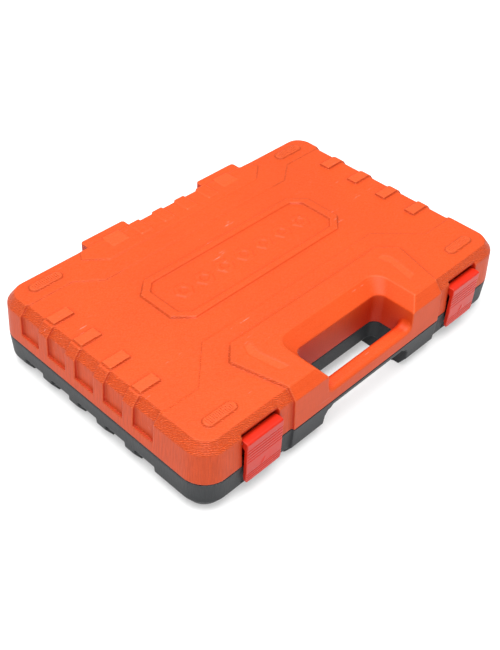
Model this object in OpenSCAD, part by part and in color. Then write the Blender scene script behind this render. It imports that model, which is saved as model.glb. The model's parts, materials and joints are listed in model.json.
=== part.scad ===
// Socket wrench set in a hard case, millimetres, +Z up.
// The case lies closed on its back shell: front (carry handle) at -Y, hinges at +Y.
// Modules work in case coordinates, with y = 0 on the front wall at the parting
// line and z = 0 on the table. placed() moves them to the centre of the part.

/* [Case] */
// Width of the case at the parting line
case_w = 390; // [388:1:400]
// Depth of the case at the parting line, front wall to back wall
case_d = 262; // [261:1:266]
// Height of the base, which is the height of the parting line
base_h = 34; // [33:0.5:36]
// Height of the lid above the parting line
lid_h = 40.6; // [40:0.2:43]
// Plan radius of the case corners
corner_r = 24; // [22:1:28]
// Width of the chamfer around the top of the lid
lid_chamfer_w = 7.1; // [6:0.1:8]
// Height of the chamfer around the top of the lid
lid_chamfer_h = 9.1; // [8:0.1:10]
// Width of the chamfer around the bottom of the base
base_chamfer_w = 7.5; // [6:0.1:8]
// Height of the chamfer around the bottom of the base
base_chamfer_h = 11.5; // [10:0.1:12]
// Height of the open shadow line between the lid and the base
shadow_gap = 0.7; // [0.4:0.1:1]

/* [Handle] */
// Half the clear width of the hand opening
grip_half = 56; // [54:1:57]
// Back wall of the hand opening, from the front wall
grip_back = 39; // [37:1:41]
// Front-to-back size of the handle bar
bar_t = 15.2; // [14:0.2:16]
// Height of the lid's half of the bar above the parting line
bar_up = 14; // [12:0.5:16]
// Height of the base's half of the bar below the parting line
bar_down = 5.8; // [5:0.1:7]
// How far the handle blocks stand in front of the front wall
block_proud = 2.6; // [2:0.1:3]
// Half the width across the two handle blocks
block_half = 97; // [95:1:99]
// Height of the raised surround around the handle
surround_h = 2; // [1.5:0.1:2.5]

/* [Latches] */
// Distance of each latch from the centre of the case
latch_x = 133; // [131:1:134]
// Width of a latch
latch_w = 40; // [38:1:41]
// Top of a latch above the parting line
latch_up = 27.3; // [26.5:0.1:28]
// Bottom of a latch below the parting line
latch_down = 20.3; // [19:0.1:20.6]
// How far a latch stands in front of the front wall
latch_proud = 4; // [3.5:0.1:4.2]

/* [Hinges] */
// Distance of each hinge from the centre of the case
hinge_x = 72.5; // [70:0.5:75]
// Width of a hinge block
hinge_w = 51; // [50:1:52]
// How far the hinge blocks stand behind the back wall
hinge_proud = 5; // [4.6:0.1:5.2]
// Diameter of the hinge and latch pins
pin_d = 3; // [2.8:0.1:3.2]

/* [Side recesses] */
// Number of recesses on each side wall
recess_n = 5; // [3:1:5]
// Width of a recess
recess_w = 23.5; // [21:0.5:25]
// Spacing of the recesses
recess_pitch = 36.1; // [35:0.1:36.5]
// Depth of a recess
recess_t = 2.8; // [2:0.1:3]

/* [Tool bay] */
// Height of the bay's deck above the table
deck_z = 21.4; // [21:0.1:21.8]
// Height of the axis of the long and the half-inch sockets
tool_z = 24; // [24:0.5:25]
// Across-flats sizes of the half-inch drive sockets
large_sizes = [13, 15, 17, 19, 21, 22, 24, 27];
// Outside diameters of the half-inch drive sockets
large_ods = [22, 22, 24, 26, 28.5, 30, 32, 36];
// Across-flats sizes of the quarter-inch drive sockets
small_sizes = [5.5, 6, 7, 8, 9, 10, 12, 13];
// Outside diameters of the quarter-inch drive sockets
small_ods = [12, 12, 12, 12.5, 13, 14.5, 17, 18];

/* [Hidden] */
$fn = 64;
play = 0.05;                    // running clearance of pins and bores, on the radius
gap = 0.6;                      // free gap around parts that swing
eps = 0.02;                     // overlap used where cutters pass a face
far = 60;                       // reach of cutters beyond the case
half_inch = 12.7;               // side of the large drive square
quarter_inch = 6.35;            // side of the small drive square
case_top = base_h + lid_h;
lid_draft = 1.7;
base_draft = 1.2;
lid_wall_top = case_top - lid_chamfer_h;
block_front = -block_proud;
bar_back = block_front + bar_t;
y_mid = (case_d + hinge_proud - latch_proud) / 2;
bay_inset = 8;                  // rim of the base and lid around the tool bay
bay_r = 22;
well_inset = 13.5;              // wall of the well in the base that the tray stands in
well_r = 14;
well_floor = 4.5;
lid_ceiling = case_top - 7.6;   // inner face of the lid
handle_wall_x = grip_half + 10; // the bay's wall around the hand opening
handle_wall_y = grip_back + 10;
latch_z0 = base_h - latch_down;
latch_z1 = base_h + latch_up;
latch_pin = [4, base_h + 23.2]; // [y, z] of a latch's pivot
hinge_pin = [case_d + 1.5, base_h];
knuckle_r = 3.4;
steel = "silver";
dark = [0.28, 0.29, 0.30];
orange = [1, 0.42, 0.22];
red = [0.9, 0.22, 0.14];

// ---------- helpers ----------

module placed() translate([0, -y_mid, 0]) children();

// extrudes a [y, z] outline along x, centred
module along_x(len) rotate([90, 0, 90]) linear_extrude(len, center = true) children();

// extrudes an [x, z] outline along y, centred
module along_y(len) rotate([90, 0, 0]) linear_extrude(len, center = true) children();

// the same thing on the left and on the right
module both_sides() for (m = [0, 1]) mirror([m, 0, 0]) children();

module rod_x(r, x0, x1) translate([x0, 0, 0]) rotate([0, 90, 0]) cylinder(r = r, h = x1 - x0);

module slab(x0, x1, y0, y1, z0, z1) translate([x0, y0, z0]) cube([x1 - x0, y1 - y0, z1 - z0]);

// plan outline with round corners
module round_rect(x0, x1, y0, y1, r) {
    translate([x0 + r, y0]) square([x1 - x0 - 2 * r, y1 - y0]);
    translate([x0, y0 + r]) square([x1 - x0, y1 - y0 - 2 * r]);
    for (x = [x0 + r, x1 - r], y = [y0 + r, y1 - r]) translate([x, y]) circle(r);
}

// a moulded case half: prof lists [inset, z] from the bottom to the top
module loaf(prof) {
    n = len(prof) - 1;
    side = [for (p = prof) [p[0], p[1]]];
    translate([0, case_d / 2, 0]) {
        along_x(case_w - 2 * corner_r)
            polygon(concat([for (p = side) [p[0] - case_d / 2, p[1]]],
                           [for (i = [n:-1:0]) [case_d / 2 - side[i][0], side[i][1]]]));
        along_y(case_d - 2 * corner_r)
            polygon(concat([for (p = side) [p[0] - case_w / 2, p[1]]],
                           [for (i = [n:-1:0]) [case_w / 2 - side[i][0], side[i][1]]]));
        for (m = [0, 1], k = [0, 1]) mirror([m, 0, 0]) mirror([0, k, 0])
            translate([case_w / 2 - corner_r, case_d / 2 - corner_r, 0])
                rotate_extrude(angle = 90)
                    polygon(concat([[0, side[0][1]]],
                                   [for (p = side) [corner_r - p[0], p[1]]],
                                   [[0, side[n][1]]]));
    }
}

// ---------- case ----------

// plan of the tool bay: the inside of the rim, without the hand opening's walls
module bay_plan(front_clear) {
    difference() {
        round_rect(-case_w / 2 + bay_inset, case_w / 2 - bay_inset,
                   bay_inset + 1, case_d - bay_inset, bay_r);
        round_rect(-handle_wall_x, handle_wall_x, -far, handle_wall_y, 8);
        if (front_clear > 0)
            both_sides() translate([latch_x - latch_w / 2 - 6, 0])
                square([latch_w + 12, front_clear]);
    }
}

// plan of the well under the deck
module well_plan(clear) difference() {
    round_rect(-case_w / 2 + well_inset + clear, case_w / 2 - well_inset - clear,
               well_inset + 1 + clear, case_d - well_inset - clear, well_r - clear);
    round_rect(-handle_wall_x - clear, handle_wall_x + clear, -far, handle_wall_y + clear, 8);
}

// plan of the hand opening behind the bar
module hand_hole_plan() {
    round_rect(-grip_half, grip_half, grip_back - 22, grip_back, 9);
    translate([-grip_half, bar_back]) square([2 * grip_half, grip_back - 9 - bar_back]);
}

// cutter for one row of side recesses; prof lists [inset, z] of the wall it follows
module recess_row(prof) {
    first = case_d / 2 - 60.9;
    both_sides() for (i = [0:recess_n - 1])
        translate([0, first + i * recess_pitch, 0])
            along_y(recess_w)
                polygon(concat([for (p = prof) [case_w / 2 - recess_t - p[0], p[1]]],
                               [[case_w / 2 + far, prof[len(prof) - 1][1]],
                                [case_w / 2 + far, prof[0][1]]]));
}

// the two moulded pockets that the latches close over
module latch_pocket(depth, z0, z1)
    both_sides() slab(latch_x - latch_w / 2 - gap, latch_x + latch_w / 2 + gap, -far, depth, z0, z1);

// x ranges of the base's two hinge lugs, from the hinge's middle
lug_at = 13.5;
lug_w = 6;

module hinge_lugs(r, grow) both_sides() for (s = [-1, 1])
    translate([hinge_x + s * lug_at, hinge_pin[0], hinge_pin[1]])
        rod_x(r, -lug_w / 2 - grow, lug_w / 2 + grow);

module hinge_bores() both_sides() translate([hinge_x, hinge_pin[0], hinge_pin[1]])
    rod_x(pin_d / 2 + play, -hinge_w / 2 + 1.9, hinge_w / 2 - 1.9);

module hinge_pin_solid(side) placed() color(steel)
    translate([side * hinge_x, hinge_pin[0], hinge_pin[1]])
        rod_x(pin_d / 2, -hinge_w / 2 + 2, hinge_w / 2 - 2);

module latch_pin_solid(side) placed() color(steel)
    translate([side * latch_x, latch_pin[0], latch_pin[1]])
        rod_x(pin_d / 2, -latch_w / 2 - 4, latch_w / 2 + 4);

// ---------- places of the tools, [x, y, z] of a reference point ----------

large_head = [-150, 224, 30];       // centre of the large ratchet's head
small_head = [118, 87.5, 26];        // centre of the small ratchet's head
small_scale = 0.62;                 // small ratchet against the large one
large_row = [-178, 152];            // left end and drive ends of the large sockets
large_len = 38;
large_space = 6;
small_row = [-178, 79.5];
small_len = 25;
small_space = 5;
deep_len = 75;
deep_x = 103;
deep_17 = [24, 149.2];               // [outside diameter, y]
deep_19 = [26, 176.6];
plug_len = 65;
plug_16 = [22, 203.6];
plug_21 = [28, 231.6];
large_bar = [-178, 132, 26];
large_bar_len = 125;
small_bar = [80, 46, 24];
small_bar_len = 98;
t_bar = [122, 25, 26];              // middle of the T-bar
t_bar_len = 100;
spinner = [45, 118, 25];
u_joint = [-8, 127, 26];            // centre of the universal joint's cross
bit_row = [-175.5, 20, 22.6];
bit_len = 30;
bit_space = 9;
bits_each = 3;

// x of the middle of item i in a row of diameters
function row_x(start, d, space, i) =
    start + d[i] / 2 + (i == 0 ? 0 : row_x(0, d, space, i - 1) + d[i - 1] / 2 + space);

// pockets in the tray, [x0, x1, y0, y1, floor]
pockets = concat(
    [[large_head[0] - 20.8, large_head[0] + 20.8, large_head[1] - 20.8, large_head[1] + 20.8, 6.5],
     [large_head[0] + 20, large_head[0] + 227, large_head[1] - 14, large_head[1] + 14, large_head[2] - 13.4],
     [small_head[0] - 13.5, small_head[0] + 13.5, small_head[1] - 13.5, small_head[1] + 13.5, 11.5],
     [small_head[0] - 141, small_head[0] - 13, small_head[1] - 9, small_head[1] + 9, small_head[2] - 8.6],
     [deep_x - 1, deep_x + deep_len + 1, deep_17[1] - 12.4, deep_17[1] + 12.4, tool_z - 12.4],
     [deep_x - 1, deep_x + deep_len + 1, deep_19[1] - 13.4, deep_19[1] + 13.4, tool_z - 13.4],
     [deep_x - 1, deep_x + plug_len + 1, plug_16[1] - 11.8, plug_16[1] + 11.8, tool_z - 11.4],
     [deep_x - 1, deep_x + plug_len + 1, plug_21[1] - 14.6, plug_21[1] + 14.6, tool_z - 14.4],
     [large_bar[0] - 2, large_bar[0] + large_bar_len + 2, large_bar[1] - 11.6,
      large_bar[1] + 11.6, large_bar[2] - 11.4],
     [small_bar[0] - 2, small_bar[0] + small_bar_len + 2, small_bar[1] - 6.8,
      small_bar[1] + 6.8, small_bar[2] - 6],
     [t_bar[0] - t_bar_len / 2 - 2, t_bar[0] + t_bar_len / 2 + 2, t_bar[1] - 7.4, t_bar[1] + 7.4, 8],
     [spinner[0] - 1, spinner[0] + 81, spinner[1] - 14.1, spinner[1] + 14.1, spinner[2] - 13.9],
     [spinner[0] + 80, spinner[0] + 122, spinner[1] - 6, spinner[1] + 6, spinner[2] - 6],
     [u_joint[0] - 38, u_joint[0] - 13, u_joint[1] - 12.6, u_joint[1] + 12.6, u_joint[2] - 12.4],
     [u_joint[0] - 14, u_joint[0] + 43, u_joint[1] - 20.4, u_joint[1] + 20.4, well_floor - 1]],
    [for (i = [0:len(large_ods) - 1])
        let (x = row_x(large_row[0], large_ods, large_space, i), r = large_ods[i] / 2)
        [x - r - 1.2, x + r + 1.2, large_row[1] - 1.2, large_row[1] + large_len + 1.2, tool_z - r - 0.4]],
    [for (i = [0:len(small_ods) - 1])
        let (x = row_x(small_row[0], small_ods, small_space, i), r = small_ods[i] / 2)
        [x - r - 0.8, x + r + 0.8, small_row[1] - 1, small_row[1] + small_len + 1, tool_z - r - 0.4]],
    [for (i = [0:4 * bits_each - 1])
        let (x = bit_row[0] + i * bit_space)
        [x - 3.9, x + 3.9, bit_row[1] - 1, bit_row[1] + bit_len + 1, bit_row[2] - 3.8]],
    // finger troughs along the ends of the sockets
    [[large_row[0] - 2, deep_x - 15, large_row[1] + large_len, large_row[1] + large_len + 11.5, 12],
     [small_row[0] - 2, small_head[0] - 148, small_row[1] - 11.5, small_row[1], 15],
     [deep_x - 11, deep_x, deep_17[1] - 12.4, plug_21[1] + 14.6, 12]]);

// the tray's blocks, each a list of rectangles [x0, x1, y0, y1]
tray_blocks = [
    [[-case_w, 89.6, 204, case_d]],                                   // large ratchet
    [[-case_w, 89.6, 149.6, 203.6]],                                  // large sockets
    [[90, case_w, 133.8, case_d]],                                    // long sockets
    [[-case_w, -49.2, 112, 149.2]],                                   // large extension bar
    [[-26.8, 37.6, 102.6, 149.2], [-48.8, -26.8, 112, 149.2]],        // universal joint
    [[38, 89.6, 102.6, 149.2], [89.6, case_w, 102.6, 133.4]],         // spinner
    [[-case_w, -27.2, 66, 111.6]],                                    // small sockets
    [[-26.8, case_w, 66, 102.2]],                                     // small ratchet
    [[-case_w, -66.4, 0, 65.6], [-66.4, -0.2, 0, 65.6]],              // bits
    [[66.4, case_w, 0, 65.6], [0.2, 66.4, 0, 65.6]]];                 // T-bar and small extension bar

// ---------- base ----------

base_prof = [[base_draft + base_chamfer_w, 0], [base_draft, base_chamfer_h],
             [0, base_h - shadow_gap], [1.6, base_h - shadow_gap], [1.6, base_h]];
base_field_t = 1.2;                // depth of the sunk fields under the base

// open space under the bar: [x, z] outline, its sides leaning out to the table
module under_bar() along_y(2 * far) {
    top = base_h - bar_down;
    foot = grip_half + 5;
    difference() {
        polygon([[-grip_half + 5, top], [grip_half - 5, top], [grip_half, top - 8],
                 [foot, -far], [-foot, -far], [-grip_half, top - 8]]);
        for (s = [-1, 1]) translate([s * (grip_half - 5), top]) circle(3, $fn = 48);
    }
}

// back of the hand opening, sloped out towards the table; [y, z] outline
module base_flare() along_x(2 * grip_half)
    polygon([[grip_back - 10, -1], [grip_back - 10, 16], [grip_back, 16], [grip_back + 12, 0],
             [grip_back + 12, -1]]);

// the base as one body of material, before its handle is parted from it
module base_solid() difference() {
    union() {
        difference() {
            union() {
                loaf(base_prof);
                along_x(2 * block_half) polygon(concat(
                    [for (p = base_prof) [p[0] + block_front, p[1]]], [[30, base_h], [30, 0]]));
            }
            translate([0, 0, deck_z]) linear_extrude(far) bay_plan(0);
            translate([0, 0, well_floor]) linear_extrude(far) well_plan(0);
            recess_row([[base_draft + base_chamfer_w + 1, -1], [base_draft, base_chamfer_h],
                        [base_draft - 0.3, base_h / 2]]);
            latch_pocket(2.8, base_h - latch_down - 1.4, base_h + 1);
            // sunk fields under the base
            both_sides() translate([0, 0, -1]) linear_extrude(1 + base_field_t)
                round_rect(24, case_w / 2 - 30, 72, case_d - 30, 12);
        }
        // catch bead of each latch
        both_sides() translate([latch_x, 2.4, base_h - 8]) rod_x(2.2, -14, 14);
        // lugs of the hinges, with their necks
        hinge_lugs(knuckle_r, 0);
        both_sides() for (s = [-1, 1]) translate([hinge_x + s * lug_at, 0, 0])
            slab(-lug_w / 2, lug_w / 2, case_d - 4, hinge_pin[0], base_h - knuckle_r, base_h - 1.2);
    }
    translate([0, 0, -1]) linear_extrude(far) hand_hole_plan();
    base_flare();
    translate([0, bar_back - far, 0]) under_bar();
    hinge_bores();
    // room for the lid's knuckles, which turn about the same pins
    both_sides() translate([hinge_x, hinge_pin[0], hinge_pin[1]]) difference() {
        rod_x(knuckle_r + 0.4, -hinge_w / 2 - gap, hinge_w / 2 + gap);
        for (s = [-1, 1]) translate([s * lug_at, 0, 0]) rod_x(knuckle_r + 1, -lug_w / 2, lug_w / 2);
    }
}

// the front of the base between the latches: the two handle blocks and the lower half of the bar
module grip_zone() slab(-block_half, block_half, -far, bar_back, -1, far);

module base_shell() placed() color(dark) difference() {
    base_solid();
    grip_zone();
}

module base_grip() placed() color(dark) intersection() {
    base_solid();
    grip_zone();
}

module tool_tray() placed() color(dark) difference() {
    for (block = tray_blocks)
        translate([0, 0, well_floor]) linear_extrude(deck_z - well_floor) intersection() {
            well_plan(0.3);
            for (r = block) translate([r[0], r[2]]) square([r[1] - r[0], r[3] - r[2]]);
        }
    for (p = pockets) slab(p[0], p[1], p[2], p[3], p[4], base_h);
}

module hinge_pin_left() hinge_pin_solid(-1);
module hinge_pin_right() hinge_pin_solid(1);

// ---------- lid ----------

lid_prof = [[0, base_h], [lid_draft, lid_wall_top], [lid_draft + lid_chamfer_w, case_top]];
block_prof = [[0, base_h], [lid_draft, lid_wall_top + 0.4],
              [lid_draft + lid_chamfer_w + 1.4, case_top + surround_h]];
panel = [107.5, 118, 184, 16];      // octagon on the lid: half width, front, back, corner cut
panel_step = 1.6;
strip_h = 0.9;                      // height of the low frames on the lid
mark_h = 1.15;                      // height of the rib marks
pad_h = 1.4;                        // height of the corner pads and the hinge pads
field_t = 0.7;                      // depth of the sunk middle of the lid

// the slightly sunk middle of the lid
module lid_field() translate([0, 0, case_top - field_t]) linear_extrude(far) polygon([
    [-187, 56], [-147, 56], [-109, 92], [109, 92], [147, 56], [187, 56],
    [187, 225.5], [138, 225.5], [115, 208], [-115, 208], [-138, 225.5], [-187, 225.5]]);

module octagon(half_w, y0, y1, cut_x, cut_y)
    polygon([[-half_w, y0 + cut_y], [-half_w + cut_x, y0], [half_w - cut_x, y0], [half_w, y0 + cut_y],
             [half_w, y1 - cut_y], [half_w - cut_x, y1], [-half_w + cut_x, y1], [-half_w, y1 - cut_y]]);

// raised surround of the handle, with sloped edges
module surround() hull() {
    for (e = [[0, surround_h], [2.6, -1]])
        translate([0, 0, case_top + e[1] - eps]) linear_extrude(eps)
            polygon([[-block_half - e[0] / 2, 9.4], [-block_half - 12.7 - e[0], 59],
                     [-block_half + 3.5 - e[0] / 2, 74 + e[0]], [block_half - 3.5 + e[0] / 2, 74 + e[0]],
                     [block_half + 12.7 + e[0], 59], [block_half + e[0] / 2, 9.4]]);
}

// flare from the hand opening's walls up to the top of the surround
module hand_flare() hull() {
    translate([0, 0, lid_wall_top]) linear_extrude(eps)
        round_rect(-grip_half, grip_half, -far, grip_back, 9, $fn = 32);
    translate([0, 0, case_top + surround_h + eps]) linear_extrude(eps)
        round_rect(-grip_half - 10, grip_half + 10, -far, grip_back + 14, 15, $fn = 32);
}

// round-topped outline of the lid's half of the bar, in [y, z]
module bar_profile() translate([block_front, base_h]) {
    r = 5;
    square([bar_t, bar_up - r]);
    translate([r, 0]) square([bar_t - 2 * r, bar_up]);
    for (y = [r, bar_t - r]) translate([y, bar_up - r]) circle(r);
}

// elbows that carry the bar's rounded top up into the blocks
elbow_r = 8;

module bar_elbows() both_sides() translate([grip_half - elbow_r, 0, base_h + bar_up + elbow_r])
    rotate([-90, 0, 0]) rotate_extrude(angle = 90, $fn = 40)
        translate([base_h + bar_up + elbow_r, 0]) rotate(90) bar_profile();

// ribs between the side recesses run a little way onto the top
module rib_marks() both_sides() for (i = [0:recess_n - 2])
    slab(case_w / 2 - 32, case_w / 2 - 11, case_d / 2 - 42.85 + i * recess_pitch - 5.5,
         case_d / 2 - 42.85 + i * recess_pitch + 5.5, case_top - 1, case_top + mark_h);

// short raised marks along the back edge
module back_marks() for (i = [-2:1])
    slab(14.3 + i * 28.6 - 6, 14.3 + i * 28.6 + 6, case_d - 27, case_d - 7.4,
         case_top - 1, case_top + 2 * strip_h);

module corner_pads() both_sides() for (y = [25, case_d - 22])
    translate([155, y, case_top - 1]) linear_extrude(1 + pad_h) {
        square([23, 10], center = true);
        for (s = [-1, 1]) translate([s * 11.5, 0]) circle(5);
    }

// generic sign in the panel: a row of plain hexagon nuts
module panel_sign() translate([0, (panel[1] + panel[2]) / 2, case_top - 1])
    for (i = [-3:3]) translate([i * 25, 0, 0]) difference() {
        cylinder(r = 9, h = 1.1, $fn = 6);
        translate([0, 0, -1]) cylinder(r = 4.6, h = 4);
    }

module hinge_blocks() both_sides() difference() {
    slab(hinge_x - hinge_w / 2, hinge_x + hinge_w / 2, case_d - 14, case_d + hinge_proud,
         base_h, case_top);
    // corners cut in plan
    for (s = [-1, 1]) translate([hinge_x + s * hinge_w / 2, case_d + hinge_proud, 0])
        rotate(45) cube([6, 6, 3 * case_top], center = true);
    // edge cut along the top
    translate([hinge_x, case_d + hinge_proud, case_top]) rotate([45, 0, 0])
        cube([2 * hinge_w, 4, 4], center = true);
}

module lid_shell() placed() color(orange) difference() {
    union() {
        difference() {
            union() {
                difference() {
                    loaf(lid_prof);
                    lid_field();
                }
                along_x(2 * block_half) polygon(concat(
                    [for (p = block_prof) [p[0] + block_front, p[1]]],
                    [[30, case_top + surround_h], [30, base_h]]));
                surround();
                hinge_blocks();
                // low outlines on the top: the back band and the panel's frame
                translate([0, 0, case_top - 1]) linear_extrude(1 + strip_h)
                    polygon([[-113, case_d - 19], [-94, case_d - 35], [94, case_d - 35],
                             [113, case_d - 19], [107, case_d - 9], [-107, case_d - 9]]);
                translate([0, 0, case_top - 1]) linear_extrude(1 + strip_h)
                    octagon(panel[0], panel[1], panel[2], panel[3], 14);
            }
            translate([0, 0, base_h - eps]) linear_extrude(lid_ceiling - base_h + eps) bay_plan(12.5);
            // recessed field of the panel
            translate([0, 0, case_top + strip_h - panel_step]) linear_extrude(far)
                octagon(panel[0] - 9.5, panel[1] + 7, panel[2] - 7, 9, 8.4);
            recess_row([[0.6, base_h + 11.5], [lid_draft, lid_wall_top],
                        [lid_draft + lid_chamfer_w, case_top], [lid_draft + lid_chamfer_w + 3, case_top + 4]]);
            // shallow facets beside the hand opening
            both_sides() translate([0, 0, case_top + surround_h - 0.5]) linear_extrude(far)
                polygon([[82, 64], [89.5, 64], [94, 55], [88.5, 25], [78.5, 22], [84.5, 50]]);
            // recesses between the ribs of the back wall
            for (i = [-1:1]) slab(i * 28.6 - 7, i * 28.6 + 7, case_d - 3.4, far + case_d, base_h + 11.5, far * 2);
        }
        rib_marks();
        back_marks();
        corner_pads();
        panel_sign();
        // square pads on the hinge blocks
        both_sides() slab(hinge_x - 11, hinge_x + 7, case_d - 23, case_d - 7, case_top - 1, case_top + pad_h);
        // stiffening ribs inside the lid
        for (x = [-140:70:140])
            slab(x - 1.5, x + 1.5, handle_wall_y + 8, case_d - bay_inset - 1, lid_ceiling - 6, lid_ceiling + 1);
    }
    difference() {
        union() {
            translate([0, 0, base_h - 1]) linear_extrude(far) hand_hole_plan();
            slab(-grip_half, grip_half, -far, grip_back / 2, base_h - 1, 2 * far);
        }
        along_x(2 * grip_half + 2) bar_profile();
        bar_elbows();
    }
    hand_flare();
    latch_pocket(4.2, base_h - 1, 2 * far);
    latch_pocket(8, base_h - 1, latch_z1 + 0.4);
    // room above and behind a latch, whose top edge tips back as it opens
    both_sides() translate([latch_x, 0, latch_z1]) along_x(latch_w + 2 * gap)
        polygon([[4, 4.8], [4, 0], [7.4, 0], [7.4, 0.4]]);
    both_sides() translate([latch_x, latch_pin[0], latch_pin[1]])
        rod_x(pin_d / 2, -latch_w / 2 - 4, latch_w / 2 + 4);
    hinge_lugs(knuckle_r + 0.5, 0.4);
    hinge_bores();
    // relief behind the pins, so that the open lid clears the base
    both_sides() translate([hinge_x, hinge_pin[0], hinge_pin[1]]) difference() {
        along_x(hinge_w + 4) polygon([[-8, 0], [0, 0], [12, 12 * tan(24)], [12, -6], [-8, -6]]);
        rod_x(knuckle_r, -hinge_w / 2, hinge_w / 2);
    }
}

module latch_pin_left() latch_pin_solid(-1);
module latch_pin_right() latch_pin_solid(1);

// ---------- latches ----------

module latch() difference() {
    union() {
        intersection() {
            along_x(latch_w) polygon([
                [-latch_proud + 1.2, latch_z1], [3.6, latch_z1], [3.6, latch_z1 - 6], [-0.4, latch_z1 - 9],
                [-0.4, base_h - 9.6], [-0.1, base_h - 11], [-0.1, base_h - 12.4], [-0.8, base_h - 13.4],
                [-0.8, latch_z0 + 3], [-2, latch_z0], [-latch_proud + 1.6, latch_z0],
                [-latch_proud, latch_z0 + 4], [-latch_proud, latch_z1 - 1.2]]);
            // round lower corners
            along_y(2 * far) {
                translate([-latch_w / 2, latch_z0 + 6]) square([latch_w, latch_z1 - latch_z0]);
                translate([-latch_w / 2 + 6, latch_z0]) square([latch_w - 12, 12]);
                for (s = [-1, 1]) translate([s * (latch_w / 2 - 6), latch_z0 + 6]) circle(6);
            }
        }
        translate([0, latch_pin[0], latch_pin[1]]) rod_x(3.4, -latch_w / 2, latch_w / 2);
        // triangle on the grip
        translate([0, 0, base_h - 6.6]) rotate([90, 0, 0])
            linear_extrude(latch_proud + 0.4) polygon([[-4, 0], [4, 0], [0, 5.5]]);
    }
    // grooves across the front, with a plain field for the triangle
    for (z = [for (i = [0:4]) latch_z1 - 8 - i * 3.3, for (i = [0:3]) latch_z0 + 4.6 + i * 2.6])
        translate([0, -latch_proud, z]) rotate([45, 0, 0]) cube([2 * latch_w, 1, 1], center = true);
    translate([0, latch_pin[0], latch_pin[1]]) rod_x(pin_d / 2 + play, -latch_w, latch_w);
}

module latch_left() placed() color(red) translate([-latch_x, 0, 0]) latch();
module latch_right() placed() color(red) translate([latch_x, 0, 0]) latch();

// ---------- sockets ----------

// a socket along +y from its drive end; small drive ends step up to the full diameter
module socket(af, od, length, drive) rotate([-90, 0, 0]) {
    r = od / 2;
    neck = min(r, drive * 0.866);
    grow = length * 0.42;
    hex_depth = length * 0.45;
    difference() {
        rotate_extrude() polygon([
            [0, 0], [neck - 0.8, 0], [neck, 0.8], [neck, grow - 0.05], [r, grow + (r - neck) * 0.8],
            [r, length - 1], [r - 1, length], [0, length]]);
        translate([0, 0, length - hex_depth]) cylinder(r = af / 2 / cos(30), h = length, $fn = 6);
        cube([drive + 0.2, drive + 0.2, length * 0.9], center = true);
        cylinder(r = drive / 2, h = length);
        // groove near the drive end
        translate([0, 0, length * 0.2]) difference() {
            cylinder(r = r + 1, h = 1.4);
            cylinder(r = neck - 0.5, h = 5, center = true);
        }
    }
}

module large_socket(i) placed() color(steel)
    translate([row_x(large_row[0], large_ods, large_space, i), large_row[1], tool_z])
        socket(large_sizes[i], large_ods[i], large_len, half_inch);

module small_socket(i) placed() color(steel)
    translate([row_x(small_row[0], small_ods, small_space, i), small_row[1], tool_z])
        socket_small(small_sizes[i], small_ods[i]);

// small hexagons are narrower than the drive square, which then stops short of them
module socket_small(af, od) rotate([-90, 0, 0]) {
    r = od / 2;
    difference() {
        rotate_extrude() polygon([[0, 0], [r - 0.6, 0], [r, 0.6], [r, small_len - 0.6],
                                  [r - 0.6, small_len], [0, small_len]]);
        translate([0, 0, small_len / 2 - 0.5]) cylinder(r = af / 2 / cos(30), h = small_len, $fn = 6);
        translate([-quarter_inch / 2 - 0.1, -quarter_inch / 2 - 0.1, -1])
            cube([quarter_inch + 0.2, quarter_inch + 0.2, small_len / 2]);
        cylinder(r = min(3.1, af * 0.45), h = small_len);
        translate([0, 0, 5]) difference() {
            cylinder(r = r + 1, h = 1.2);
            cylinder(r = r - 0.4, h = 5, center = true);
        }
    }
}

module deep_socket(af, spec) placed() color(steel)
    translate([deep_x + deep_len, spec[1], tool_z]) rotate(90) socket(af, spec[0], deep_len, half_inch);
module deep_socket_17() deep_socket(17, deep_17);
module deep_socket_19() deep_socket(19, deep_19);

module plug_socket(af, spec) placed() color(steel)
    translate([deep_x + plug_len, spec[1], tool_z]) rotate(90) socket(af, spec[0], plug_len, half_inch);
module plug_socket_16() plug_socket(16, plug_16);
module plug_socket_21() plug_socket(21, plug_21);

// rubber sleeve that holds the plug, at the bottom of the hexagon
module plug_insert(af, spec) placed() color([0.1, 0.1, 0.1])
    translate([deep_x + plug_len * 0.45, spec[1], tool_z]) rotate([0, -90, 0]) difference() {
        cylinder(r = af / 2 - 0.05, h = 14);
        translate([0, 0, -1]) cylinder(r = af / 2 - 2.6, h = 16);
    }
module plug_insert_16() plug_insert(16, plug_16);
module plug_insert_21() plug_insert(21, plug_21);

// ---------- ratchets ----------
// Local frame: centre of the head, handle towards +x, drive square towards -z.

head_r = 20;
head_half = 7.5;
gear_r = 11;
gear_top = 4.2;
cover_t = 1.6;
stem_x = 14.6;                      // pivot of the reversing lever
tang = [112, 215];                  // part of the handle inside the grip
grip_end = 226;

module ratchet_body() difference() {
    union() {
        rotate_extrude() polygon([[0, -head_half], [head_r - 2.5, -head_half], [head_r, -head_half + 2.5],
                                  [head_r, head_half - 2.5], [head_r - 2.5, head_half], [0, head_half]]);
        // neck, its collar and the tang
        rotate([0, 90, 0]) rotate_extrude() polygon([
            [0, 14], [7, 14], [7, 30], [5.6, 40], [5.6, 88], [8, 98], [9, 104], [9, tang[0]],
            [6, tang[0]], [6, tang[1]], [0, tang[1]]]);
    }
    translate([0, 0, -far]) cylinder(r = gear_r + play, h = far + gear_top + 0.3);
    translate([0, 0, -far]) linear_extrude(far - head_half + cover_t + 0.1) cover_plan(0.1);
    translate([stem_x, 0, -far]) cylinder(r = 5, h = far + gear_top + 0.3);
    cylinder(r = 3.5, h = far);
    translate([stem_x, 0, 0]) cylinder(r = 2 + play, h = far);
}

module cover_plan(grow) {
    circle(14 + grow);
    translate([stem_x, 0]) circle(5.6 + grow);
}

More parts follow.
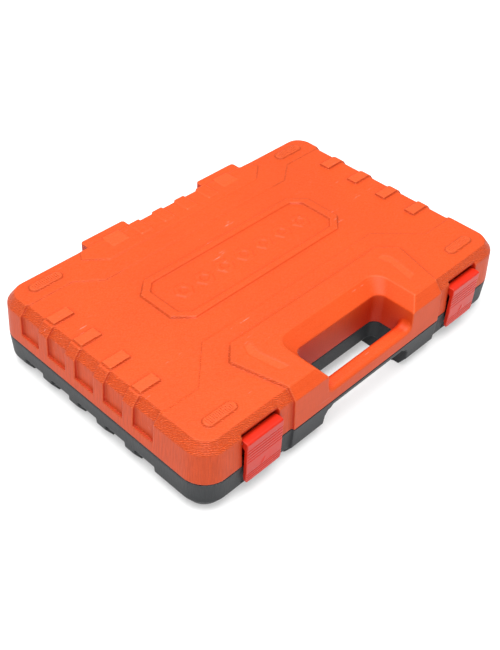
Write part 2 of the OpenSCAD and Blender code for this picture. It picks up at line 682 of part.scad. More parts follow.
module ratchet_cover() translate([0, 0, -head_half]) linear_extrude(cover_t) difference() {
    cover_plan(0);
    circle(9.4);
}

module ratchet_grip() rotate([0, 90, 0]) difference() {
    rotate_extrude() polygon(concat(
        [[0, tang[0]], [10, tang[0]], [12, tang[0] + 3]],
        [for (i = [0:6]) each let (x = tang[0] + 10 + i * 12) [[12.6, x], [13, x + 2], [13, x + 7], [12, x + 9]]],
        [[12.6, grip_end - 12], [13, grip_end - 6], [11, grip_end - 1], [9, grip_end], [0, grip_end]]));
    cylinder(r = 6.1, h = tang[1]);
}

module ratchet_drive(square_side) {
    translate([0, 0, -head_half + cover_t + 0.15])
        cylinder(r = gear_r, h = gear_top + head_half - cover_t - 0.15);
    difference() {
        translate([-square_side / 2, -square_side / 2, -22]) cube([square_side, square_side, 20]);
        // chamfered end
        for (a = [0:90:270]) rotate(a) translate([square_side / 2, 0, -22]) rotate([0, 45, 0])
            cube([1.6, 2 * square_side, 1.6], center = true);
    }
    // detent ball
    translate([square_side / 2 - 1.4, 0, -16.5]) sphere(r = 2.1, $fn = 32);
}

// the button's stem ends above the gear, clear of it when pressed
module ratchet_button() {
    translate([0, 0, gear_top + 2.4]) cylinder(r = 3, h = 10.2 - gear_top - 2.4);
    translate([0, 0, 10]) rotate_extrude() polygon([[0, 0], [4.4, 0], [4.4, 1.2], [3.6, 2], [0, 2]]);
}

module ratchet_lever() {
    translate([stem_x, 0, gear_top]) cylinder(r = 2, h = 5);
    translate([stem_x, 0, head_half + 0.4]) difference() {
        union() {
            cylinder(r = 5, h = 2.8);
            slab(0, 15, -3, 3, 0, 2.8);
            translate([15, 0, 0]) cylinder(r = 4.2, h = 2.8);
        }
        translate([-far - 2 * gear_r, -far, -1]) cube([far + 2 * gear_r - 4.6, 2 * far, 9]);
    }
}

module ratchet_pawl() translate([stem_x, 0, -head_half + cover_t + 0.4]) {
    h = gear_top + head_half - cover_t - 0.4;
    cylinder(r = 2.9, h = h);
    translate([-1, -4.4, 0]) cube([2, 8.8, h]);
}

module at_large() placed() translate(large_head) children();
module at_small() placed() translate(small_head) rotate(180) scale(small_scale) children();

module large_ratchet_body() color(steel) at_large() ratchet_body();
module large_ratchet_cover() color(steel) at_large() ratchet_cover();
module large_ratchet_grip() color(dark) at_large() ratchet_grip();
module large_ratchet_drive() color(steel) at_large() ratchet_drive(half_inch);
module large_ratchet_button() color(steel) at_large() ratchet_button();
module large_ratchet_lever() color(dark) at_large() ratchet_lever();
module large_ratchet_pawl() color(steel) at_large() ratchet_pawl();
module small_ratchet_body() color(steel) at_small() ratchet_body();
module small_ratchet_cover() color(steel) at_small() ratchet_cover();
module small_ratchet_grip() color(dark) at_small() ratchet_grip();
module small_ratchet_drive() color(steel) at_small() ratchet_drive(quarter_inch / small_scale);
module small_ratchet_button() color(steel) at_small() ratchet_button();
module small_ratchet_lever() color(dark) at_small() ratchet_lever();
module small_ratchet_pawl() color(steel) at_small() ratchet_pawl();

// ---------- extensions, T-bar, spinner and universal joint ----------

// bar along +x: socket end first, drive square last
module extension(length, drive) {
    socket_r = drive * 0.866;
    shaft_r = drive * 0.5;
    socket_len = 2 * drive;
    difference() {
        union() {
            rotate([0, 90, 0]) rotate_extrude() polygon([
                [0, 0], [socket_r - 0.6, 0], [socket_r, 0.6], [socket_r, socket_len],
                [shaft_r, socket_len + socket_r - shaft_r], [shaft_r, length - 1.1 * drive - 1],
                [0, length - 1.1 * drive - 1]]);
            translate([length - 1.1 * drive - 1, -drive / 2, -drive / 2])
                cube([1.1 * drive + 1, drive, drive]);
            translate([length - drive * 0.55, 0, drive / 2 - drive * 0.11])
                sphere(r = drive * 0.16, $fn = 32);
        }
        translate([-1, -drive / 2 - 0.1, -drive / 2 - 0.1]) cube([1.2 * drive + 1, drive + 0.2, drive + 0.2]);
    }
}

module large_extension_bar() placed() color(steel) translate(large_bar)
    extension(large_bar_len, half_inch);
module small_extension_bar() placed() color(steel) translate(small_bar)
    extension(small_bar_len, quarter_inch);

t_rod_r = 3.1;

module t_bar_rod() placed() color(steel) translate(t_bar) rotate([0, 90, 0]) {
    rotate_extrude() polygon([
        [0, -t_bar_len / 2], [3.2, -t_bar_len / 2], [4, -t_bar_len / 2 + 0.8], [4, -t_bar_len / 2 + 5],
        [t_rod_r, -t_bar_len / 2 + 6], [t_rod_r, t_bar_len / 2 - 6], [4, t_bar_len / 2 - 5],
        [4, t_bar_len / 2 - 0.8], [3.2, t_bar_len / 2], [0, t_bar_len / 2]]);
}

module t_bar_slider() placed() color(steel) translate(t_bar) difference() {
    union() {
        translate([0, 0, -8]) rotate_extrude()
            polygon([[0, 0], [5.8, 0], [6.8, 1], [6.8, 13], [5.8, 14], [0, 14]]);
        translate([-quarter_inch / 2, -quarter_inch / 2, -16]) cube([quarter_inch, quarter_inch, 9]);
    }
    rod_x(t_rod_r + play, -far, far);
}

module spinner_grip() placed() color(red) translate(spinner) rotate([0, 90, 0]) difference() {
    union() {
        rotate_extrude() polygon([[0, 0], [10, 0], [12.8, 3], [13.5, 10], [13.5, 55], [10.4, 64],
                                  [10.4, 70], [12, 75], [11, 80], [0, 80]]);
    }
    // flutes around the grip
    for (a = [0:45:315]) rotate(a) translate([14.4, 0, 8]) cylinder(r = 2.4, h = 48);
    translate([0, 0, 40]) cylinder(r = 4, h = far);
}

module spinner_shank() placed() color(steel) translate(spinner) {
    rod_x(3.95, 40, 111);
    translate([110, -quarter_inch / 2, -quarter_inch / 2]) cube([10, quarter_inch, quarter_inch]);
}

// Universal joint along x. The socket fork holds the cross's y pins, the drive fork its z pins.
fork_r = 12;
ear_in = 6.2;
ear_t = 4.6;
cross_pin_r = 2.5;

// fork along -x from the cross; its two ears stand at +y and -y
module fork(body_from, body_to) difference() {
    union() {
        rod_x(fork_r, body_from, body_to);
        for (s = [-1, 1]) intersection() {
            rod_x(fork_r, body_to - 1, 6);
            union() {
                slab(body_to - 1, 0, s > 0 ? ear_in : -far, s > 0 ? far : -ear_in, -5.5, 5.5);
                rotate([90, 0, 0]) translate([0, 0, s > 0 ? -ear_in - far : ear_in])
                    cylinder(r = 5.5, h = far);
            }
        }
    }
    rotate([90, 0, 0]) cylinder(r = cross_pin_r + play, h = 4 * fork_r, center = true);
}

module joint_fork_socket() placed() color(steel) translate(u_joint) difference() {
    fork(-36, -14);
    translate([-37, -half_inch / 2 - 0.1, -half_inch / 2 - 0.1]) cube([16, half_inch + 0.2, half_inch + 0.2]);
}

module joint_cross() placed() color(steel) translate(u_joint) {
    cube(2 * ear_in - 0.8, center = true);
    for (a = [[90, 0, 0], [0, 0, 0]]) rotate(a)
        cylinder(r = cross_pin_r, h = 2 * (ear_in + ear_t) - 0.8, center = true);
}

module joint_fork_drive() placed() color(steel) translate(u_joint) rotate([0, 0, 180]) rotate([90, 0, 0]) {
    fork(-24, -14);
    translate([-39, -half_inch / 2, -half_inch / 2]) cube([16, half_inch, half_inch]);
}

// ---------- bits ----------

// hexagon shank along +y, then a neck and its tip
module bit_shank(neck_r) rotate([-90, 0, 0]) {
    rotate(30) cylinder(r = quarter_inch / 2 / cos(30), h = 17, $fn = 6);
    cylinder(r = neck_r, h = 22);
}

module bit_row_of(kind, neck_r) placed() color(steel)
    for (i = [0:bits_each - 1])
        translate([bit_row[0] + (kind * bits_each + i) * bit_space, bit_row[1], bit_row[2]]) {
            bit_shank(neck_r + 0.25 * i);
            translate([0, 21, 0]) children(i);
        }

module bits_slotted() bit_row_of(0, 2.2) {
    slab(-1.8, 1.8, 0, 9, -0.4, 0.4);
    slab(-2.1, 2.1, 0, 9, -0.5, 0.5);
    slab(-2.4, 2.4, 0, 9, -0.6, 0.6);
}

module cross_tip(r) for (a = [0, 90]) rotate([0, a, 0]) slab(-r, r, 0, 8.4, -0.5, 0.5);
module bits_cross() bit_row_of(1, 2.2) { cross_tip(1.6); cross_tip(1.9); cross_tip(2.2); }

module round_tip(r, sides) rotate([-90, 0, 0]) cylinder(r = r, h = 9, $fn = sides);
module bits_hex() bit_row_of(2, 2.4) { round_tip(1.5, 6); round_tip(2, 6); round_tip(2.5, 6); }

module star_tip(r) for (a = [0, 60, 120]) rotate([0, a, 0]) slab(-r, r, 0, 9, -r / 3, r / 3);
module bits_star() bit_row_of(3, 2.4) { star_tip(1.4); star_tip(1.8); star_tip(2.2); }

// ---------- drawing ----------

base_shell();
base_grip();
tool_tray();
hinge_pin_left();
hinge_pin_right();
lid_shell();
latch_pin_left();
latch_pin_right();
latch_left();
latch_right();
large_ratchet_body();
large_ratchet_cover();
large_ratchet_grip();
large_ratchet_drive();
large_ratchet_button();
large_ratchet_lever();
large_ratchet_pawl();
small_ratchet_body();
small_ratchet_cover();
small_ratchet_grip();
small_ratchet_drive();
small_ratchet_button();
small_ratchet_lever();
small_ratchet_pawl();
large_extension_bar();
small_extension_bar();
t_bar_rod();
t_bar_slider();
spinner_grip();
spinner_shank();
joint_fork_socket();
joint_cross();
joint_fork_drive();
deep_socket_17();
deep_socket_19();
plug_socket_16();
plug_socket_21();
plug_insert_16();
plug_insert_21();
bits_slotted();
bits_cross();
bits_hex();
bits_star();
for (i = [0:len(large_sizes) - 1])
    large_socket(i);
for (i = [0:len(small_sizes) - 1])
    small_socket(i);
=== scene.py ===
"""Looks of the socket wrench set in its moulded case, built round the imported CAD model. Metres, +Z up."""

import json
import math

import bmesh
import bpy
from mathutils import Matrix, Vector

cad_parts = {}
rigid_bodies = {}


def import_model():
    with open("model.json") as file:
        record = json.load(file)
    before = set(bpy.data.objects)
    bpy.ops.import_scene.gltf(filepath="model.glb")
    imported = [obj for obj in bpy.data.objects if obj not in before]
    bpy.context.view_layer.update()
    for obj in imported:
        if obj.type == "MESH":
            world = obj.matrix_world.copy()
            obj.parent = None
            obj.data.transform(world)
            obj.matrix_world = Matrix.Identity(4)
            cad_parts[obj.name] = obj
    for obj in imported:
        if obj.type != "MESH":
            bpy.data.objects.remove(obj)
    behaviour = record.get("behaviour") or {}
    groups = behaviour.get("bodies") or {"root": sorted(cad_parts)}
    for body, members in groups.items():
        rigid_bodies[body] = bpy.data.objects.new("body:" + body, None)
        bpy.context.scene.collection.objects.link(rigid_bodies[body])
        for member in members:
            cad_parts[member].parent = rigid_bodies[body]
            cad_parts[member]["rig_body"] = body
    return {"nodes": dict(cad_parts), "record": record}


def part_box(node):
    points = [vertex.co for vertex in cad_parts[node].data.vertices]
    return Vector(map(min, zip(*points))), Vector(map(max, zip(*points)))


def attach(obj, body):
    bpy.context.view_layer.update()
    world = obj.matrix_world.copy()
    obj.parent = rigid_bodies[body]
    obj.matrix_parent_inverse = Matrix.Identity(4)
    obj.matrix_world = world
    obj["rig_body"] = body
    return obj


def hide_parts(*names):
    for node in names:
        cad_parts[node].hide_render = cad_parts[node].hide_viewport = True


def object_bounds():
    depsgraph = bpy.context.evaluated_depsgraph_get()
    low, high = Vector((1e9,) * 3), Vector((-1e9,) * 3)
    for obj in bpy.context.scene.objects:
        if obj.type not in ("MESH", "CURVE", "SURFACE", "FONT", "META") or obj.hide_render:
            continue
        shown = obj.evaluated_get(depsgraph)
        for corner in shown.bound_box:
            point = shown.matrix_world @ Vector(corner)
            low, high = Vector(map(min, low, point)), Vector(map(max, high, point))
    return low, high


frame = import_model()
cad_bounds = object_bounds()
scene = bpy.context.scene
nodes = frame["nodes"]
MM = 0.001


# ---------- procedural materials ----------


class Finish:
    """One node material. Its methods add a node and return the output that the next node reads."""

    def __init__(self, name):
        self.material = bpy.data.materials.new(name)
        self.material.use_nodes = True
        self.tree = self.material.node_tree
        self.shader = self.tree.nodes["Principled BSDF"]
        self.coordinates = self.tree.nodes.new("ShaderNodeTexCoord")
        self.place = self.coordinates.outputs["Object"]

    def set(self, **values):
        """Sets sockets of the shader. A double underscore stands for a space."""
        for socket, value in values.items():
            self.wire(value, self.shader.inputs[socket.replace("__", " ")])

    def wire(self, value, socket):
        """Links a node's output to the socket, or sets the socket to a plain value."""
        if isinstance(value, bpy.types.NodeSocket):
            self.tree.links.new(value, socket)
        else:
            socket.default_value = value

    def maths(self, operation, a, b=0.0):
        node = self.tree.nodes.new("ShaderNodeMath")
        node.operation = operation
        self.wire(a, node.inputs[0])
        self.wire(b, node.inputs[1])
        return node.outputs[0]

    def times(self, a, b):
        return self.maths("MULTIPLY", a, b)

    def stretched(self, stretch, offset=(0, 0, 0), turn=0.0):
        """The object's coordinates, scaled by stretch, so that a texture on them has grain."""
        node = self.tree.nodes.new("ShaderNodeMapping")
        node.inputs["Scale"].default_value = stretch
        node.inputs["Location"].default_value = offset
        node.inputs["Rotation"].default_value = (0, 0, math.radians(turn))
        self.tree.links.new(self.place, node.inputs["Vector"])
        return node.outputs[0]

    def noise(self, size, detail=2.0, rough=0.5, stretch=(1, 1, 1), offset=(0, 0, 0), turn=0.0):
        """Noise with features of about size metres, from 0 to 1."""
        node = self.tree.nodes.new("ShaderNodeTexNoise")
        node.inputs["Scale"].default_value = 1 / size
        node.inputs["Detail"].default_value = detail
        node.inputs["Roughness"].default_value = rough
        self.tree.links.new(self.stretched(stretch, offset, turn), node.inputs["Vector"])
        return node.outputs["Fac"]

    def waves(self, spacing, wander, size):
        """Wavy lines spacing metres apart, that wander about over size metres, from 0 to 1."""
        node = self.tree.nodes.new("ShaderNodeTexWave")
        node.bands_direction = "DIAGONAL"
        node.inputs["Scale"].default_value = math.pi / 5 / spacing
        node.inputs["Distortion"].default_value = wander
        node.inputs["Detail"].default_value = 1.0
        node.inputs["Detail Scale"].default_value = 5 * spacing / math.pi / size
        node.inputs["Detail Roughness"].default_value = 0.5
        self.tree.links.new(self.place, node.inputs["Vector"])
        return node.outputs["Fac"]

    def cells(self, size):
        """Rounded pebbles of about size metres."""
        node = self.tree.nodes.new("ShaderNodeTexVoronoi")
        node.feature = "SMOOTH_F1"
        node.inputs["Scale"].default_value = 1 / size
        node.inputs["Smoothness"].default_value = 0.6
        self.tree.links.new(self.place, node.inputs["Vector"])
        return node.outputs["Distance"]

    def ramp(self, value, low, high, to_low=0.0, to_high=1.0):
        """Smoothly from to_low where value is low to to_high where it is high."""
        node = self.tree.nodes.new("ShaderNodeMapRange")
        node.interpolation_type = "SMOOTHSTEP"
        self.wire(value, node.inputs["Value"])
        for socket, number in (("From Min", low), ("From Max", high), ("To Min", to_low), ("To Max", to_high)):
            node.inputs[socket].default_value = number
        return node.outputs["Result"]

    def mix(self, share, a, b):
        """Colour a where share is 0, b where it is 1."""
        node = self.tree.nodes.new("ShaderNodeMix")
        node.data_type = "RGBA"
        self.wire(share, node.inputs[0])
        self.wire(a, node.inputs[6])
        self.wire(b, node.inputs[7])
        return node.outputs[2]

    def facing(self, axis):
        """How far the surface faces along an axis of the object itself, -1 to 1."""
        node = self.tree.nodes.new("ShaderNodeSeparateXYZ")
        self.tree.links.new(self.coordinates.outputs["Normal"], node.inputs[0])
        return node.outputs[axis]

    def along(self, axis):
        """The object's own coordinate along an axis, in metres."""
        node = self.tree.nodes.new("ShaderNodeSeparateXYZ")
        self.tree.links.new(self.place, node.inputs[0])
        return node.outputs[axis]

    def edges(self):
        """Above 0.5 on convex edges and below it in grooves."""
        return self.tree.nodes.new("ShaderNodeNewGeometry").outputs["Pointiness"]

    def openness(self, reach):
        """1 in the open, less where other surfaces stand within reach."""
        node = self.tree.nodes.new("ShaderNodeAmbientOcclusion")
        node.samples = 6
        node.inputs["Distance"].default_value = reach
        return node.outputs["AO"]

    def rounded(self, radius):
        """The normal with sharp edges rounded off, and how close the point is to such an edge."""
        bevel = self.tree.nodes.new("ShaderNodeBevel")
        bevel.samples = 4
        bevel.inputs["Radius"].default_value = radius
        plain = self.tree.nodes.new("ShaderNodeNewGeometry")
        dot = self.tree.nodes.new("ShaderNodeVectorMath")
        dot.operation = "DOT_PRODUCT"
        self.tree.links.new(bevel.outputs[0], dot.inputs[0])
        self.tree.links.new(plain.outputs["Normal"], dot.inputs[1])
        return bevel.outputs[0], self.maths("SUBTRACT", 1.0, dot.outputs["Value"])

    def bump(self, height, depth, strength=1.0, normal=None):
        """Relief of depth metres from a height between 0 and 1."""
        node = self.tree.nodes.new("ShaderNodeBump")
        node.inputs["Distance"].default_value = depth
        self.wire(strength, node.inputs["Strength"])
        self.wire(height, node.inputs["Height"])
        if normal is not None:
            self.tree.links.new(normal, node.inputs["Normal"])
        return node.outputs[0]


def rgb(red, green, blue):
    """An sRGB colour of 0 to 255 as the shader's linear one."""
    linear = [((c / 255 + 0.055) / 1.055) ** 2.4 if c > 10 else c / 255 / 12.92 for c in (red, green, blue)]
    return (*linear, 1)


def shaded(colour, share):
    """A colour made darker, or lighter where share is above 1."""
    return tuple(c * share for c in colour[:3]) + (1,)


def deepened(colour, share):
    """The richer, darker colour a plastic takes where its own walls light each other."""
    strongest = max(colour[:3])
    return tuple(share * c * (c / strongest) ** 0.8 for c in colour[:3]) + (1,)


SCUFF_PALE = (0.8, 0.76, 0.74, 1)
GRAIN_STARTS = (92 * MM, 100 * MM)      # distance to either side of the handle where the grain sets in


def moulded_plastic(
    name, colour, wear_and_highlight, *, roughness, grain_depth, scuffing, speckle, painted_hollow_shade, pale_band=None
):
    """Blow-moulded plastic: grained on the chamfers, drawn vertically on the walls, smoother on the flats.

    Hollows get painted shade, painted_hollow_shade of the colour; marks between the two heights of pale_band
    are rubbed paler.
    """
    f = Finish(name)
    up = f.maths("ABSOLUTE", f.facing("Z"))
    flat = f.ramp(up, 0.93, 0.995)
    wall = f.ramp(up, 0.45, 0.2)
    # colour: broad drift, faint flow streaks, fine speckle, pale edges that are partly wear and partly painted
    # highlight, painted shade in grooves, crevices and hollows, scuffs
    drift = f.noise(90 * MM, detail=3)
    streaks = f.noise(2.4 * MM, detail=2, stretch=(0.06, 1, 1), turn=14)
    fine = f.noise(0.9 * MM, detail=1)
    tone = f.mix(f.ramp(drift, 0.3, 0.7), shaded(colour, 0.94), shaded(colour, 1.05))
    tone = f.mix(f.ramp(streaks, 0.45, 0.8, 0, 0.35), tone, shaded(colour, 0.84))
    tone = f.mix(f.ramp(fine, 0.35, 0.75, 0, speckle), tone, wear_and_highlight)
    edge = f.edges()
    tone = f.mix(f.ramp(edge, 0.505, 0.55, 0, 0.6), tone, wear_and_highlight)
    tone = f.mix(f.ramp(edge, 0.495, 0.45, 0, 0.5), tone, shaded(colour, 0.5))
    # painted shade where other surfaces stand close, and in deep hollows painted shade with the richer colour
    # of light reflected between the walls
    tone = f.mix(f.ramp(f.openness(5 * MM), 0.96, 0.7, 0, 0.55), tone, shaded(colour, 0.45))
    tone = f.mix(f.ramp(f.openness(45 * MM), 0.9, 0.55, 0, 0.85), tone, deepened(colour, painted_hollow_shade))
    if pale_band:
        height = f.along("Z")
        low, high = pale_band
        fade = 0.1 * MM
        band = f.times(f.ramp(height, low - fade, low), f.ramp(height, high, high - fade))
        tone = f.mix(f.times(band, 0.22), tone, wear_and_highlight)
    marks = f.noise(5 * MM, detail=5, rough=0.7, stretch=(0.12, 1, 2.6), offset=(3, 1, 2), turn=-8)
    patches = f.ramp(f.noise(38 * MM, detail=1, offset=(7, 2, 5)), 0.56, 0.7)
    scuffs = f.times(f.ramp(marks, 0.63, 0.7), patches)
    tone = f.mix(f.times(scuffs, scuffing), tone, f.mix(0.5, wear_and_highlight, SCUFF_PALE))
    # relief: wavy grain, strongest on the outer chamfers; fine vertical lines on the walls
    wavy = f.waves(2.0 * MM, 9.0, 5 * MM)
    broken = f.noise(1.6 * MM, detail=1)
    grain = f.times(wavy, f.ramp(broken, 0.3, 0.6, 0.4, 1))
    outer = f.ramp(f.maths("ABSOLUTE", f.along("X")), *GRAIN_STARTS)
    slope = f.times(f.ramp(flat, 0, 1, 1, 0), f.ramp(wall, 0, 1, 1, 0))
    slope = f.times(slope, f.ramp(outer, 0, 1, 0.12, 0.85))
    slope = f.maths("ADD", slope, f.times(flat, 0.26))
    lines = f.noise(1.0 * MM, detail=2, stretch=(1, 1, 0.05))
    wall = f.times(wall, f.ramp(outer, 0, 1, 0.35, 1))
    # painted shade in the grain's troughs and painted highlight on its crests
    tone = f.mix(f.times(f.ramp(grain, 0.1, 0.5, 0.75, 0), slope), tone, shaded(colour, 0.5))
    tone = f.mix(f.times(f.ramp(grain, 0.55, 0.95, 0, 0.6), slope), tone, wear_and_highlight)
    tone = f.mix(f.times(f.ramp(lines, 0.35, 0.7, 0, 0.4), wall), tone, shaded(colour, 0.6))
    normal = f.bump(grain, grain_depth, strength=slope)
    normal = f.bump(lines, 0.3 * MM, strength=f.times(wall, 0.6), normal=normal)
    normal = f.bump(f.noise(0.8 * MM, detail=1), 0.1 * MM, strength=f.times(flat, 0.6), normal=normal)
    normal = f.bump(f.noise(34 * MM, detail=1), 0.5 * MM, strength=0.35, normal=normal)
    matt = f.ramp(fine, 0.2, 0.8, roughness - 0.05, roughness + 0.07)
    gloss = f.maths("ADD", matt, f.times(scuffs, 0.15))
    f.set(Base__Color=tone, Roughness=gloss, Normal=normal, Specular__IOR__Level=0.2)
    return f.material


def gloss_plastic(name, colour, wear_and_highlight, roughness):
    """Smooth injection-moulded plastic."""
    f = Finish(name)
    drift = f.noise(22 * MM, detail=3)
    tone = f.mix(f.ramp(drift, 0.3, 0.7), shaded(colour, 0.92), shaded(colour, 1.06))
    edge = f.edges()
    # pale convex edges, partly wear and partly painted highlight; painted shade in grooves
    tone = f.mix(f.ramp(edge, 0.51, 0.58, 0, 0.6), tone, wear_and_highlight)
    tone = f.mix(f.ramp(edge, 0.495, 0.44, 0, 0.6), tone, shaded(colour, 0.5))
    swirl = f.noise(1.1 * MM, detail=2, stretch=(0.15, 1, 1))
    scratches = f.ramp(f.noise(3 * MM, detail=4, rough=0.7, stretch=(0.1, 1, 1.6), turn=20), 0.62, 0.7)
    normal = f.bump(swirl, 0.03 * MM, strength=0.5)
    matt = f.ramp(drift, 0.3, 0.7, roughness - 0.04, roughness + 0.05)
    f.set(
        Base__Color=f.mix(f.times(scratches, 0.25), tone, wear_and_highlight),
        Roughness=f.maths("ADD", matt, f.times(scratches, 0.15)),
        Normal=normal,
        Specular__IOR__Level=0.26,
        Coat__Weight=0.06,
        Coat__Roughness=0.18,
    )
    return f.material


def steel(name, colour, roughness, brushed, stretch, edge_light=0.5):
    """Plated or satin steel with fine machining lines, brighter edges and faint handling marks."""
    f = Finish(name)
    round_normal, near_edge = f.rounded(0.35 * MM)
    lines = f.noise(0.35 * MM, detail=2, stretch=stretch)
    cloud = f.noise(9 * MM, detail=3)
    tone = f.mix(f.ramp(cloud, 0.3, 0.75), shaded(colour, 0.86), colour)
    tone = f.mix(f.ramp(near_edge, 0.0, 0.12, 0, edge_light), tone, (0.88, 0.88, 0.87, 1))
    smear = f.noise(4 * MM, detail=4, rough=0.65, offset=(2, 8, 1))
    matt = f.ramp(smear, 0.35, 0.75, roughness - 0.05, roughness + 0.09)
    f.set(
        Base__Color=tone,
        Metallic=1.0,
        Roughness=f.maths("ADD", matt, f.times(lines, 0.05)),
        Normal=f.bump(lines, brushed, strength=0.6, normal=round_normal),
    )
    return f.material


def rubber(name, colour, grain):
    """Matte rubber with a fine leathery grain and dust in it."""
    f = Finish(name)
    round_normal, near_edge = f.rounded(0.4 * MM)
    pits = f.cells(0.9 * MM)
    dust = f.noise(6 * MM, detail=4, rough=0.6)
    tone = f.mix(f.ramp(dust, 0.45, 0.8, 0, 0.4), colour, shaded(colour, 2.2))
    tone = f.mix(f.ramp(near_edge, 0.0, 0.1, 0, 0.5), tone, shaded(colour, 2.6))
    f.set(
        Base__Color=tone,
        Roughness=f.ramp(dust, 0.3, 0.8, 0.62, 0.82),
        Normal=f.bump(pits, grain, strength=0.7, normal=round_normal),
        Specular__IOR__Level=0.35,
    )
    return f.material


# each paler colour serves for wear and scuffs and also for painted highlight on edges and grain crests
ORANGE = rgb(194, 66, 16)
ORANGE_WEAR_AND_HIGHLIGHT = rgb(212, 96, 52)
GREY = rgb(52, 54, 56)
GREY_WEAR_AND_HIGHLIGHT = rgb(92, 94, 96)
RED = rgb(192, 34, 12)
RED_WEAR_AND_HIGHLIGHT = rgb(214, 80, 58)

lid_plastic = moulded_plastic(
    "lid_plastic", ORANGE, ORANGE_WEAR_AND_HIGHLIGHT,
    roughness=0.46, grain_depth=0.4 * MM, scuffing=0.5, speckle=0.2, painted_hollow_shade=0.82,
    pale_band=(75.66 * MM, 76.3 * MM),      # the tops of the rib marks and pads
)
base_plastic = moulded_plastic(
    "base_plastic", GREY, GREY_WEAR_AND_HIGHLIGHT,
    roughness=0.5, grain_depth=0.35 * MM, scuffing=0.35, speckle=0.2, painted_hollow_shade=0.45,
)
latch_plastic = gloss_plastic("latch_plastic", RED, RED_WEAR_AND_HIGHLIGHT, 0.34)
grip_plastic = gloss_plastic("grip_plastic", rgb(180, 26, 14), RED_WEAR_AND_HIGHLIGHT, 0.2)
chrome_steel = steel("chrome_steel", (0.74, 0.74, 0.75, 1), 0.14, 0.005 * MM, (1, 0.15, 1))
satin_steel = steel("satin_steel", (0.62, 0.62, 0.63, 1), 0.3, 0.02 * MM, (1, 1, 0.15))
pin_steel = steel("pin_steel", (0.55, 0.55, 0.56, 1), 0.34, 0.02 * MM, (0.15, 1, 1))
bit_steel = steel("bit_steel", (0.3, 0.3, 0.31, 1), 0.36, 0.02 * MM, (1, 0.15, 1), edge_light=0.35)
grip_rubber = rubber("grip_rubber", rgb(32, 32, 34), 0.12 * MM)
insert_rubber = rubber("insert_rubber", rgb(24, 24, 25), 0.08 * MM)

SLOTS = {
    "base_plastic": base_plastic,
    "lid_plastic": lid_plastic,
    "latch_plastic": latch_plastic,
    "pin_steel": pin_steel,
    "chrome_steel": chrome_steel,
    "satin_steel": satin_steel,
    "grip_rubber": grip_rubber,
    "grip_plastic": grip_plastic,
    "insert_rubber": insert_rubber,
    "bit_steel": bit_steel,
}


# ---------- meshes ----------


def baked(piece):
    """Turns a piece's modifiers into its mesh."""
    graph = bpy.context.evaluated_depsgraph_get()
    mesh = bpy.data.meshes.new_from_object(piece.evaluated_get(graph))
    piece.modifiers.clear()
    piece.data = mesh


def soft_skin(sources, name, slot, voxel, rounds, faces):
    """The shape of some CAD nodes of one body, with the soft edges of a moulding. It stands for those nodes."""
    joined = bmesh.new()
    for source in sources:
        joined.from_mesh(nodes[source].data)
    mesh = bpy.data.meshes.new(name)
    joined.to_mesh(mesh)
    joined.free()
    piece = bpy.data.objects.new(name, mesh)
    piece.matrix_world = nodes[sources[0]].matrix_world
    scene.collection.objects.link(piece)
    remesh = piece.modifiers.new("remesh", "REMESH")
    remesh.mode = "VOXEL"
    remesh.voxel_size = voxel
    soften = piece.modifiers.new("soften", "SMOOTH")
    soften.factor = 0.5
    soften.iterations = rounds
    baked(piece)
    count = 2 * len(piece.data.polygons)
    if count > faces:
        thin = piece.modifiers.new("thin", "DECIMATE")
        thin.ratio = faces / count
        baked(piece)
    piece.data.materials.clear()
    piece.data.materials.append(SLOTS[slot])
    for polygon in piece.data.polygons:
        polygon.use_smooth = True
    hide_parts(*sources)
    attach(piece, nodes[sources[0]]["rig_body"])
    return piece


def cad_finish(node, slot):
    """A CAD node keeps its shape and gets its slot's material."""
    piece = nodes[node]
    piece.data.materials.clear()
    piece.data.materials.append(SLOTS[slot])


# the CAD nodes, the skin's name, its slot, the voxel size, the rounds of smoothing, the most triangles
SKINS = [
    (["lid_shell"], "lid_skin", "lid_plastic", 0.7 * MM, 4, 190000),
    (["base_shell", "base_grip"], "base_skin", "base_plastic", 0.9 * MM, 4, 190000),
    (["latch_left"], "latch_left_skin", "latch_plastic", 0.4 * MM, 3, 60000),
    (["latch_right"], "latch_right_skin", "latch_plastic", 0.4 * MM, 3, 60000),
]

slot_of = {s["node"]: s["material_slot"] for s in frame["record"]["subparts"]}
skinned = []
for sources, *look in SKINS:
    soft_skin(sources, *look)
    skinned += sources
for node in sorted(nodes):
    if node not in skinned:
        cad_finish(node, slot_of[node])


def pad_ribs():
    """Fine cross ribs on the lid's four raised corner pads."""
    low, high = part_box("lid_shell")
    foot = high.z - 0.75 * MM               # a little below the top of a pad
    rise, pitch, each_side = 0.5 * MM, 2.1 * MM, 6
    from_front, from_back, from_side = 27.6 * MM, 27 * MM, 40 * MM
    # half width, half length and height of a rib at its foot and at its top
    rings = [(0.65 * MM, 3.8 * MM, foot), (0.22 * MM, 3.3 * MM, foot + rise)]
    vertices, faces = [], []
    for y in (low.y + from_front, high.y - from_back):
        for x in (low.x + from_side, high.x - from_side):
            for i in range(-each_side, each_side + 1):
                a = len(vertices)
                for half_w, half_l, z in rings:
                    for u, v in ((-1, -1), (1, -1), (1, 1), (-1, 1)):
                        vertices.append((x + i * pitch + u * half_w, y + v * half_l, z))
                faces += [(a + 3, a + 2, a + 1, a), (a + 4, a + 5, a + 6, a + 7)]
                faces += [(a + k, a + (k + 1) % 4, a + 4 + (k + 1) % 4, a + 4 + k) for k in range(4)]
    mesh = bpy.data.meshes.new("pad_ribs")
    mesh.from_pydata(vertices, [], faces)
    mesh.materials.append(lid_plastic)
    piece = bpy.data.objects.new("pad_ribs", mesh)
    scene.collection.objects.link(piece)
    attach(piece, nodes["lid_shell"]["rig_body"])


pad_ribs()


# ---------- floor, light, camera ----------

FLOOR_REACH = 4.0
FLOOR_GLOW = 0.4                # the floor is a light table, so that it stays white under the case
WORLD_LIGHT = 0.55
WORLD_SEEN = 1.0

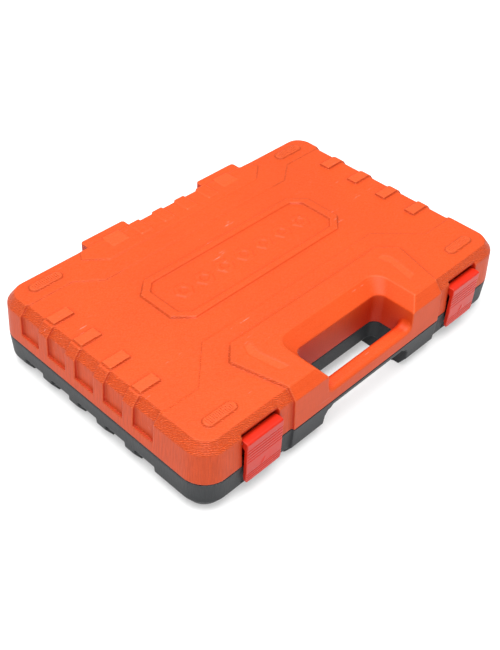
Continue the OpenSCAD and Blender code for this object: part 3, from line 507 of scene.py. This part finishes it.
floor_mesh = bpy.data.meshes.new("floor")
corners = [(FLOOR_REACH * u, FLOOR_REACH * v, 0) for u, v in ((-1, -1), (1, -1), (1, 1), (-1, 1))]
floor_mesh.from_pydata(corners, [], [(0, 1, 2, 3)])
floor = bpy.data.objects.new("floor", floor_mesh)
scene.collection.objects.link(floor)
paper = Finish("floor_paper")
paper.set(
    Base__Color=paper.mix(paper.noise(120 * MM), (0.54, 0.54, 0.54, 1), (0.56, 0.56, 0.56, 1)),
    Emission__Color=(1, 1, 1, 1),
    Emission__Strength=FLOOR_GLOW,
    Roughness=0.9,
    Specular__IOR__Level=0.1,
)
floor_mesh.materials.append(paper.material)

world = bpy.data.worlds.new("studio")
scene.world = world
world.use_nodes = True
backdrop = world.node_tree.nodes["Background"]
backdrop.inputs["Color"].default_value = (1, 1, 1, 1)
# dimmer as a light than as the white backdrop the camera sees
seen = world.node_tree.nodes.new("ShaderNodeLightPath").outputs["Is Camera Ray"]
level_of = world.node_tree.nodes.new("ShaderNodeMapRange")
level_of.inputs["To Min"].default_value = WORLD_LIGHT
level_of.inputs["To Max"].default_value = WORLD_SEEN
world.node_tree.links.new(seen, level_of.inputs["Value"])
world.node_tree.links.new(level_of.outputs["Result"], backdrop.inputs["Strength"])

centre = (cad_bounds[0] + cad_bounds[1]) / 2


def softbox(name, place, size, watts):
    """A square area light that shines at the middle of the case."""
    light = bpy.data.lights.new(name, "AREA")
    light.shape = "SQUARE"
    light.size = size
    light.energy = watts
    lamp = bpy.data.objects.new(name, light)
    lamp.location = place
    lamp.rotation_mode = "QUATERNION"
    lamp.rotation_quaternion = (centre - Vector(place)).to_track_quat("-Z", "Y")
    scene.collection.objects.link(lamp)


softbox("key", (-0.25, -0.1, 1.6), size=1.6, watts=52)
softbox("fill", (-1.1, -1.2, 0.5), size=1.0, watts=1)

scene.view_settings.view_transform = "Standard"

CAMERA_PLACE = Vector((-0.52249, -0.46435, 0.62773))
CAMERA_TURN = math.radians(-47.440)      # azimuth from straight in front of the handle
CAMERA_HEIGHT = math.radians(41.950)
CAMERA_ROLL = math.radians(2.859)
CAMERA_LENS = 54.90                      # millimetres, on a sensor 36 mm wide
CAMERA_SHIFT = 0.0092                    # of the picture's width
back = Vector((
    math.sin(CAMERA_TURN) * math.cos(CAMERA_HEIGHT),
    -math.cos(CAMERA_TURN) * math.cos(CAMERA_HEIGHT),
    math.sin(CAMERA_HEIGHT),
))
level = Vector((math.cos(CAMERA_TURN), math.sin(CAMERA_TURN), 0))
upright = back.cross(level)
right = math.cos(CAMERA_ROLL) * level + math.sin(CAMERA_ROLL) * upright
up = -math.sin(CAMERA_ROLL) * level + math.cos(CAMERA_ROLL) * upright
camera_data = bpy.data.cameras.new("camera")
camera_data.sensor_width = 36
camera_data.lens = CAMERA_LENS
camera_data.shift_x = CAMERA_SHIFT
camera_data.clip_start = 0.01
camera = bpy.data.objects.new("camera", camera_data)
camera.matrix_world = Matrix.Translation(CAMERA_PLACE) @ Matrix((right, up, back)).transposed().to_4x4()
scene.collection.objects.link(camera)
scene.camera = camera
